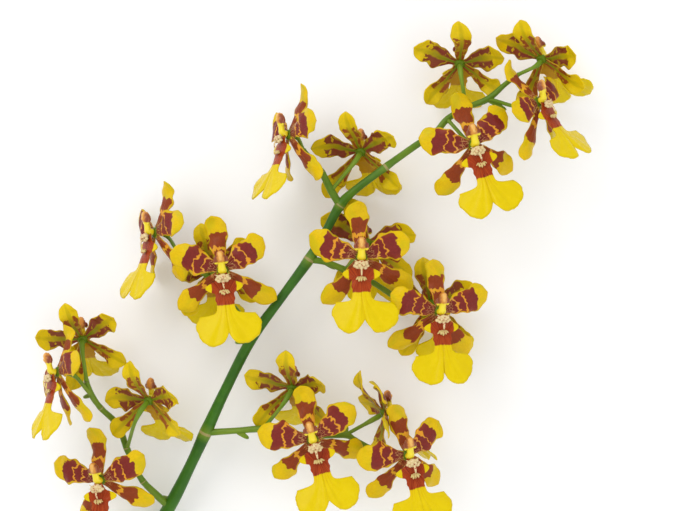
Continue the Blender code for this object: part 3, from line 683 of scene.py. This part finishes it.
def lip_blade(skin, seed, phase, sway, slot):
    """The lip: a neck with two side lobes that fans out into a notched blade with a finely waved rim."""
    f = np.linspace(-1, 1, LIP_COLUMNS)
    f = np.sign(f) * np.abs(f) ** 1.15
    beside = np.abs(f)
    rows = []
    for up, width, front in smooth(evenly(LIP_NECK), np.linspace(0, 1, LIP_ROWS)):
        arch = front - 0.12 * width * f * f + 0.12 * np.sin(phase + up) * f
        rows.append(np.stack([f * width, np.full_like(f, up), arch], axis=-1))
    waist = rows[-1]
    rim = smooth(LIP_RIM, beside)
    rim[:, 0] *= np.sign(f)
    rim[:, 0] += 0.6 * math.sin(5 * phase) * np.sign(f) * np.exp(-(((beside - 0.15) / 0.1) ** 2))
    scallop = 0.018 * np.sin(11 * f + phase) + 0.012 * np.sin(29 * f + 2 * phase) + 0.007 * np.sin(61 * f)
    rim[:, :2] += (rim[:, :2] - LIP_MIDDLE) * scallop[:, None]
    right, up, front = LIP_BEND
    bend = np.stack([f * right, np.full_like(f, up), front + 0.6 * (1 - beside)], axis=-1)
    for g in np.linspace(0, 1, LIP_ROWS)[1:]:
        row = waist * (1 - g) ** 3 + bend * 3 * g * (1 - g) + rim * g**3
        row[:, 0] += sway * g * g
        row[:, 2] += 0.9 * g * (1 - g) + 0.28 * g**3 * np.sin(9 * f + phase)
        row[:, 2] += 0.10 * g * g * np.sin(23 * f + 2 * phase)
        row[:, 2] -= 0.35 * np.exp(-((f / 0.07) ** 2)) * (1 - g)
        rows.append(row)
    grid = np.array(rows)
    points, faces, side = blade(grid, np.full(grid.shape[:2], LIP_THICKNESS))
    own = np.tile(grid[..., :2].reshape(-1, 2), (2, 1))
    # The rows run down and not up, so the side that blade calls front is the back
    skin.add(points, faces, np.column_stack([own, 1 - side]), seed, slot)


def swept(line, radii, sides, flat=1.0):
    """Points and faces of a closed tube along a line in the plane of up and front, flattened by flat."""
    line = np.asarray(line, float)
    ahead = np.gradient(line, axis=0)
    ahead /= np.linalg.norm(ahead, axis=1, keepdims=True)
    turn = np.linspace(0, 2 * np.pi, sides, endpoint=False)[:, None]
    rightwards = np.array([1.0, 0, 0])
    points = []
    for centre, way, radius in zip(line, ahead, radii):
        ring = np.cos(turn) * rightwards + flat * np.sin(turn) * np.cross(way, rightwards)
        points.append(centre + radius * ring)
    faces = []
    for k in range(len(line) - 1):
        for s in range(sides):
            a, b = k * sides + s, k * sides + (s + 1) % sides
            faces.append((a, a + sides, b + sides, b))
    faces.append(tuple(range(sides)))
    faces.append(tuple((len(line) - 1) * sides + s for s in range(sides - 1, -1, -1)))
    return np.concatenate(points), faces


def ball(centre, size, rings=8, sides=12):
    """Points and faces of an ellipsoid."""
    points = [(0, 0, 1)]
    for k in range(1, rings):
        down = math.pi * k / rings
        points += [
            (math.sin(down) * math.cos(turn), math.sin(down) * math.sin(turn), math.cos(down))
            for turn in np.linspace(0, 2 * math.pi, sides, endpoint=False)
        ]
    points.append((0, 0, -1))
    faces = []
    for s in range(sides):
        there = (s + 1) % sides
        faces.append((0, 1 + s, 1 + there))
        for k in range(rings - 2):
            a, b = 1 + k * sides, 1 + (k + 1) * sides
            faces.append((a + s, b + s, b + there, a + there))
        last = 1 + (rings - 2) * sides
        faces.append((last + s, len(points) - 1, last + there))
    return np.array(points) * np.array(size) + np.array(centre), faces


def column(skin, seed, slot):
    """The column with its cap and two small wings."""
    up, front, radius = smooth(evenly(COLUMN), np.linspace(0, 1, COLUMN_STEPS)).T
    points, faces = swept(np.stack([0 * up, up, front], axis=-1), radius, TUBE_SIDES, 0.85)
    skin.add(points, faces, points, seed, slot)
    for centre, size in COLUMN_BALLS:
        points, faces = ball(centre, size)
        skin.add(points, faces, points, seed, slot)


def finger(start, end, radius):
    """Points and faces of a blunt finger that arches a little towards the front."""
    taper = np.array([0.8, 0.95, 1.0, 1.0, 1.0, 0.92, 0.7, 0.3])
    share = np.linspace(0, 1, len(taper))[:, None]
    line = np.array(start) * (1 - share) + np.array(end) * share
    line[:, 2] += 0.3 * np.sin(np.pi * share[:, 0])
    return swept(line, radius * taper, 9, 0.8)


def crest(skin, seed, draw, slot):
    """The crest: a fan of knobs above, a tooth in its middle and a comb of fingers below."""
    knobs, fingers = list(MIDDLE_KNOBS), list(MIDDLE_FINGERS)
    for right in (-1, 1):
        knobs += [((right * place[0], *place[1:]), size) for place, size in SIDE_KNOBS]
        fingers += [
            ((right * start[0], *start[1:]), (right * end[0], *end[1:]), radius)
            for start, end, radius in SIDE_FINGERS
        ]
    for centre, size in knobs:
        moved = [c + draw.uniform(-0.12, 0.12) for c in centre]
        points, faces = ball(moved, [s * draw.uniform(0.88, 1.12) for s in size], 7, 10)
        skin.add(points, faces, points, seed, slot)
    for start, end, radius in fingers:
        moved = [c + draw.uniform(-0.15, 0.15) for c in end]
        points, faces = finger(start, moved, radius * draw.uniform(0.85, 1.15))
        skin.add(points, faces, points, seed, slot)


def make_bloom(number, skins):
    """Both pieces of a bloom."""
    place = bloom_place(number)
    draw = random.Random(int(number) * 13 + 5)
    tepals = Skin(place)
    kinds = ["sepal", "petal"]
    for (outline, length, angle, roll_back, kind), habit in zip(FLORAL_LEAVES, bloom_habit(number)):
        floral_leaf(tepals, outline, length, angle, roll_back, habit, draw.random(), kinds.index(kind))
    front, radii = np.array(RECEPTACLE).T
    points, faces = swept(np.stack([0 * front, 0 * front, front], axis=-1), radii, TUBE_SIDES)
    green_foot = np.tile([0.0, 0.02, 1.0], (len(points), 1))
    tepals.add(points, faces, green_foot, draw.random(), kinds.index("sepal"))
    outer = tepals.piece(f"bloom_{number}_floral_leaves", [skins[kind] for kind in kinds])
    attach(outer, "root")
    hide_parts(f"bloom_{number}_tepals")
    lip = Skin(place)
    seed = draw.random()
    lip_blade(lip, seed, draw.uniform(0, 2 * math.pi), LIP_SWAY.get(number, 0.0), 0)
    column(lip, seed, 1)
    crest(lip, seed, draw, 2)
    inner = lip.piece(f"bloom_{number}_lip_and_column", [skins["lip"], skins["column"], skins["crest"]])
    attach(inner, "root")
    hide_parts(f"bloom_{number}_lip")


def smooth_line(stops, steps):
    """Points with their radii on a smooth curve through the stops, each with x, y, z and radius."""
    found = []
    for k in range(len(stops) - 1):
        p = [Vector(stops[min(max(k + d, 0), len(stops) - 1)]) for d in (-1, 0, 1, 2)]
        for s in range(steps):
            t = s / steps
            found.append(
                0.5 * (
                    (2 * p[1]) + (p[2] - p[0]) * t + (2 * p[0] - 5 * p[1] + 4 * p[2] - p[3]) * t * t
                    + (3 * p[1] - p[0] - 3 * p[2] + p[3]) * t**3
                )
            )
    found.append(Vector(stops[-1]))
    return [Vector(f[:3]) + SHIFT for f in found], [f[3] for f in found]


def bezier(start, start_hand, end_hand, end, count):
    """Points on a cubic curve."""
    found = []
    for k in range(count + 1):
        t = k / count
        near = start * (1 - t) ** 3 + start_hand * 3 * t * (1 - t) ** 2
        far = end_hand * 3 * t * t * (1 - t) + end * t**3
        found.append(near + far)
    return found


def stalk_line(number, start, reach):
    """The middle line of a bloom's stalk with its radii."""
    place = bloom_place(number)
    end = place @ Vector((0, 0, STALK_END))
    back = (place.to_3x3() @ Vector((0, 0, -1))).normalized()
    span = (end - start).length
    towards = (end - start).normalized()
    line = bezier(start, start + towards * span * 0.3, end + back * span * reach, end, STALK_STEPS)
    shares, radii = zip(*STALK_RADII)
    return line, list(np.interp(np.linspace(0, 1, STALK_STEPS + 1), shares, radii))


def path_tree():
    """A node tree that sweeps a round section along every path, as wide as the path's own width says."""
    tree = bpy.data.node_groups.new("sweep_along_path", "GeometryNodeTree")
    tree.interface.new_socket("Geometry", in_out="INPUT", socket_type="NodeSocketGeometry")
    sides = tree.interface.new_socket("Sides", in_out="INPUT", socket_type="NodeSocketInt")
    skin = tree.interface.new_socket("Skin", in_out="INPUT", socket_type="NodeSocketMaterial")
    tree.interface.new_socket("Geometry", in_out="OUTPUT", socket_type="NodeSocketGeometry")

    def add(kind, **settings):
        made = tree.nodes.new(kind)
        for key, value in settings.items():
            setattr(made, key, value)
        return made

    start = add("NodeGroupInput")
    end = add("NodeGroupOutput")
    paths = add("GeometryNodeMeshToCurve")
    width = add("GeometryNodeInputNamedAttribute", data_type="FLOAT")
    width.inputs["Name"].default_value = "width"
    keep = add("GeometryNodeStoreNamedAttribute", data_type="FLOAT", domain="POINT")
    keep.inputs["Name"].default_value = "round_way"
    ring = add("GeometryNodeCurvePrimitiveCircle")
    ring.inputs["Radius"].default_value = 1.0
    place = add("GeometryNodeSplineParameter")
    sweep = add("GeometryNodeCurveToMesh")
    sweep.inputs["Fill Caps"].default_value = True
    real = add("GeometryNodeRealizeInstances")
    dress = add("GeometryNodeSetMaterial")
    for source, target in (
        (start.outputs["Geometry"], paths.inputs[0]),
        (start.outputs["Sides"], ring.inputs["Resolution"]),
        (ring.outputs["Curve"], keep.inputs["Geometry"]),
        (place.outputs["Factor"], keep.inputs["Value"]),
        (paths.outputs[0], sweep.inputs["Curve"]),
        (keep.outputs[0], sweep.inputs["Profile Curve"]),
        (width.outputs["Attribute"], sweep.inputs["Scale"]),
        (sweep.outputs[0], real.inputs[0]),
        (real.outputs[0], dress.inputs["Geometry"]),
        (start.outputs["Skin"], dress.inputs["Material"]),
        (dress.outputs[0], end.inputs[0]),
    ):
        tree.links.new(source, target)
    return tree, {"sides": sides.identifier, "skin": skin.identifier}


def sweep_runs(name, runs, seeds, tree, sockets, skin):
    """One plain mesh swept along the runs, each with its points, radii, paleness and rings."""
    points, edges, width, leaf, vary = [], [], [], [], []
    for (line, radii, pale, rings), seed in zip(runs, seeds):
        gone = 0.0
        for k, point in enumerate(line):
            if k:
                gone += (point - line[k - 1]).length
                edges.append((len(points) - 1, len(points)))
            points.append(point * METRE)
            width.append(radii[k] * METRE)
            leaf.append((0.0, gone, pale[k]))
            vary.append((seed, rings[k], 0.0))
    mesh = bpy.data.meshes.new(name + "_paths")
    mesh.from_pydata(points, edges, [])
    mesh.attributes.new("width", "FLOAT", "POINT").data.foreach_set("value", width)
    mesh.attributes.new("leaf", "FLOAT_VECTOR", "POINT").data.foreach_set("vector", np.ravel(leaf))
    mesh.attributes.new("vary", "FLOAT_VECTOR", "POINT").data.foreach_set("vector", np.ravel(vary))
    holder = bpy.data.objects.new(name + "_paths", mesh)
    bpy.context.scene.collection.objects.link(holder)
    sweep = holder.modifiers.new("sweep", "NODES")
    sweep.node_group = tree
    sweep[sockets["sides"]] = TUBE_SIDES
    sweep[sockets["skin"]] = skin
    graph = bpy.context.evaluated_depsgraph_get()
    made = bpy.data.meshes.new_from_object(holder.evaluated_get(graph))
    bpy.data.objects.remove(holder)
    made.name = name + "_skin"
    round_way = np.zeros(len(made.vertices))
    made.attributes["round_way"].data.foreach_get("value", round_way)
    values = np.zeros(len(made.vertices) * 3)
    made.attributes["leaf"].data.foreach_get("vector", values)
    values[::3] = np.sin(round_way * 2 * np.pi)
    made.attributes["leaf"].data.foreach_set("vector", values)
    made.shade_smooth()
    found = bpy.data.objects.new(name + "_skin", made)
    bpy.context.scene.collection.objects.link(found)
    return found


def bract(root, pointing, length, half_width):
    """Points, faces and what the skin reads of a small scale that ends in a point."""
    ahead = Vector(pointing).normalized()
    side = ahead.cross(Vector((0, 0, 1))).normalized()
    lift = side.cross(ahead)
    t = np.linspace(0, 1, BRACT_ROWS)[:, None, None]
    a = np.linspace(-1, 1, BRACT_COLUMNS)[None, :, None]
    taper = np.sqrt(np.clip(1 - t, 0.0004, 1)) * (0.75 + 0.5 * t)
    grid = np.array(root) + np.array(ahead) * t * length + np.array(side) * a * half_width * taper
    grid = grid + np.array(lift) * (0.35 * half_width * a * a - 0.5 * t * t)
    points, faces, side_of = blade(grid, np.full(grid.shape[:2], BRACT_THICKNESS))
    across = np.tile((a + 0 * t).ravel(), 2)
    along = np.tile((t * length + 0 * a).ravel(), 2)
    return points, faces, np.column_stack([across, along, BRACT_PALE + 0 * side_of])


def make_stem(name, tree, sockets, skin):
    """A stem with its stalks, and its bracts as a piece of their own."""
    points, radii = smooth_line(STEMS[name], STEM_STEPS)
    draw = random.Random(len(name) + len(STEMS[name]))
    pale = [BRANCH_PALE] * len(points)
    nodes = range(0, len(STEMS[name]), 2)
    if name == "main_stem":
        shares = [(k / STEM_STEPS - PALE_FROM) / PALE_OVER for k in range(len(points))]
        pale = [min(max(share, 0.0), BRANCH_PALE) for share in shares]
        nodes = MAIN_NODES
    rings = [0.0] * len(points)
    for node in nodes:
        for near in range(-2, 3):
            at = min(max(node * STEM_STEPS + near, 0), len(points) - 1)
            pale[at] = max(pale[at], NODE_PALE - abs(near) * 0.25)
            radii[at] += NODE_SWELLING * (1 - abs(near) / 3)
        rings[min(node * STEM_STEPS, len(points) - 1)] = 1.0
    runs = [(points, radii, pale, rings)]
    for number, at, reach in STALKS[name]:
        line, widths = stalk_line(number, points[at * STEM_STEPS], reach)
        runs.append((line, widths, [STALK_PALE] * len(line), [0.0] * len(line)))
    seeds = [draw.random() for _ in runs]
    stem = sweep_runs(name, runs, seeds, tree, sockets, skin)
    bracts = Skin()
    for at, pointing, length, half_width in BRACTS.get(name, []):
        sheet, faces, own = bract(points[at * STEM_STEPS], pointing, length, half_width)
        bracts.add(sheet, faces, own, draw.random(), 0)
    if bracts.count:
        scales = bracts.piece(name + "_bracts", [skin])
        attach(scales, "root")
    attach(stem, "root")
    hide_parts(name)


def studio():
    """A pale floor, two wide soft lamps above and a camera that looks straight down."""
    bpy.ops.mesh.primitive_plane_add(size=FLOOR_SIZE)
    floor = bpy.context.object
    floor.name = "floor"
    make = Maker("floor_pale")
    floor.data.materials.append(make.finish(Base_Color=(*FLOOR_PALE, 1.0), Roughness=0.9))
    world = bpy.data.worlds.new("studio")
    world.use_nodes = True
    sky = world.node_tree.nodes["Background"]
    sky.inputs["Color"].default_value = WHITE
    sky.inputs["Strength"].default_value = SKY_STRENGTH
    bpy.context.scene.world = world
    for name, (place, size, power) in LAMPS.items():
        light = bpy.data.lights.new(name, "AREA")
        light.size = size
        light.energy = power
        lamp = bpy.data.objects.new(name, light)
        lamp.location = place
        lamp.rotation_euler = (AIM - Vector(place)).to_track_quat("-Z", "Y").to_euler()
        bpy.context.scene.collection.objects.link(lamp)
    camera = bpy.data.objects.new("camera", bpy.data.cameras.new("camera"))
    camera.data.lens = LENS
    camera.data.sensor_width = SENSOR_WIDTH
    distance = PHOTO_WIDTH * PIXEL * LENS / SENSOR_WIDTH
    camera.location = Vector((SHIFT.x, SHIFT.y, BLOOM_PLANE + distance)) * METRE
    bpy.context.scene.collection.objects.link(camera)
    bpy.context.scene.camera = camera
    bpy.context.scene.view_settings.view_transform = "Standard"


def main():
    skins = {
        "petal": tepal_skin("petal_skin", PETAL_BROWN, PETAL_MARKS),
        "sepal": tepal_skin("sepal_skin", SEPAL_BROWN, SEPAL_MARKS),
        "lip": lip_skin(),
        "column": column_skin(),
        "crest": crest_skin(),
    }
    green = stem_skin()
    tree, sockets = path_tree()
    for name in STEMS:
        make_stem(name, tree, sockets, green)
    for number in BLOOMS:
        make_bloom(number, skins)
    studio()


main()
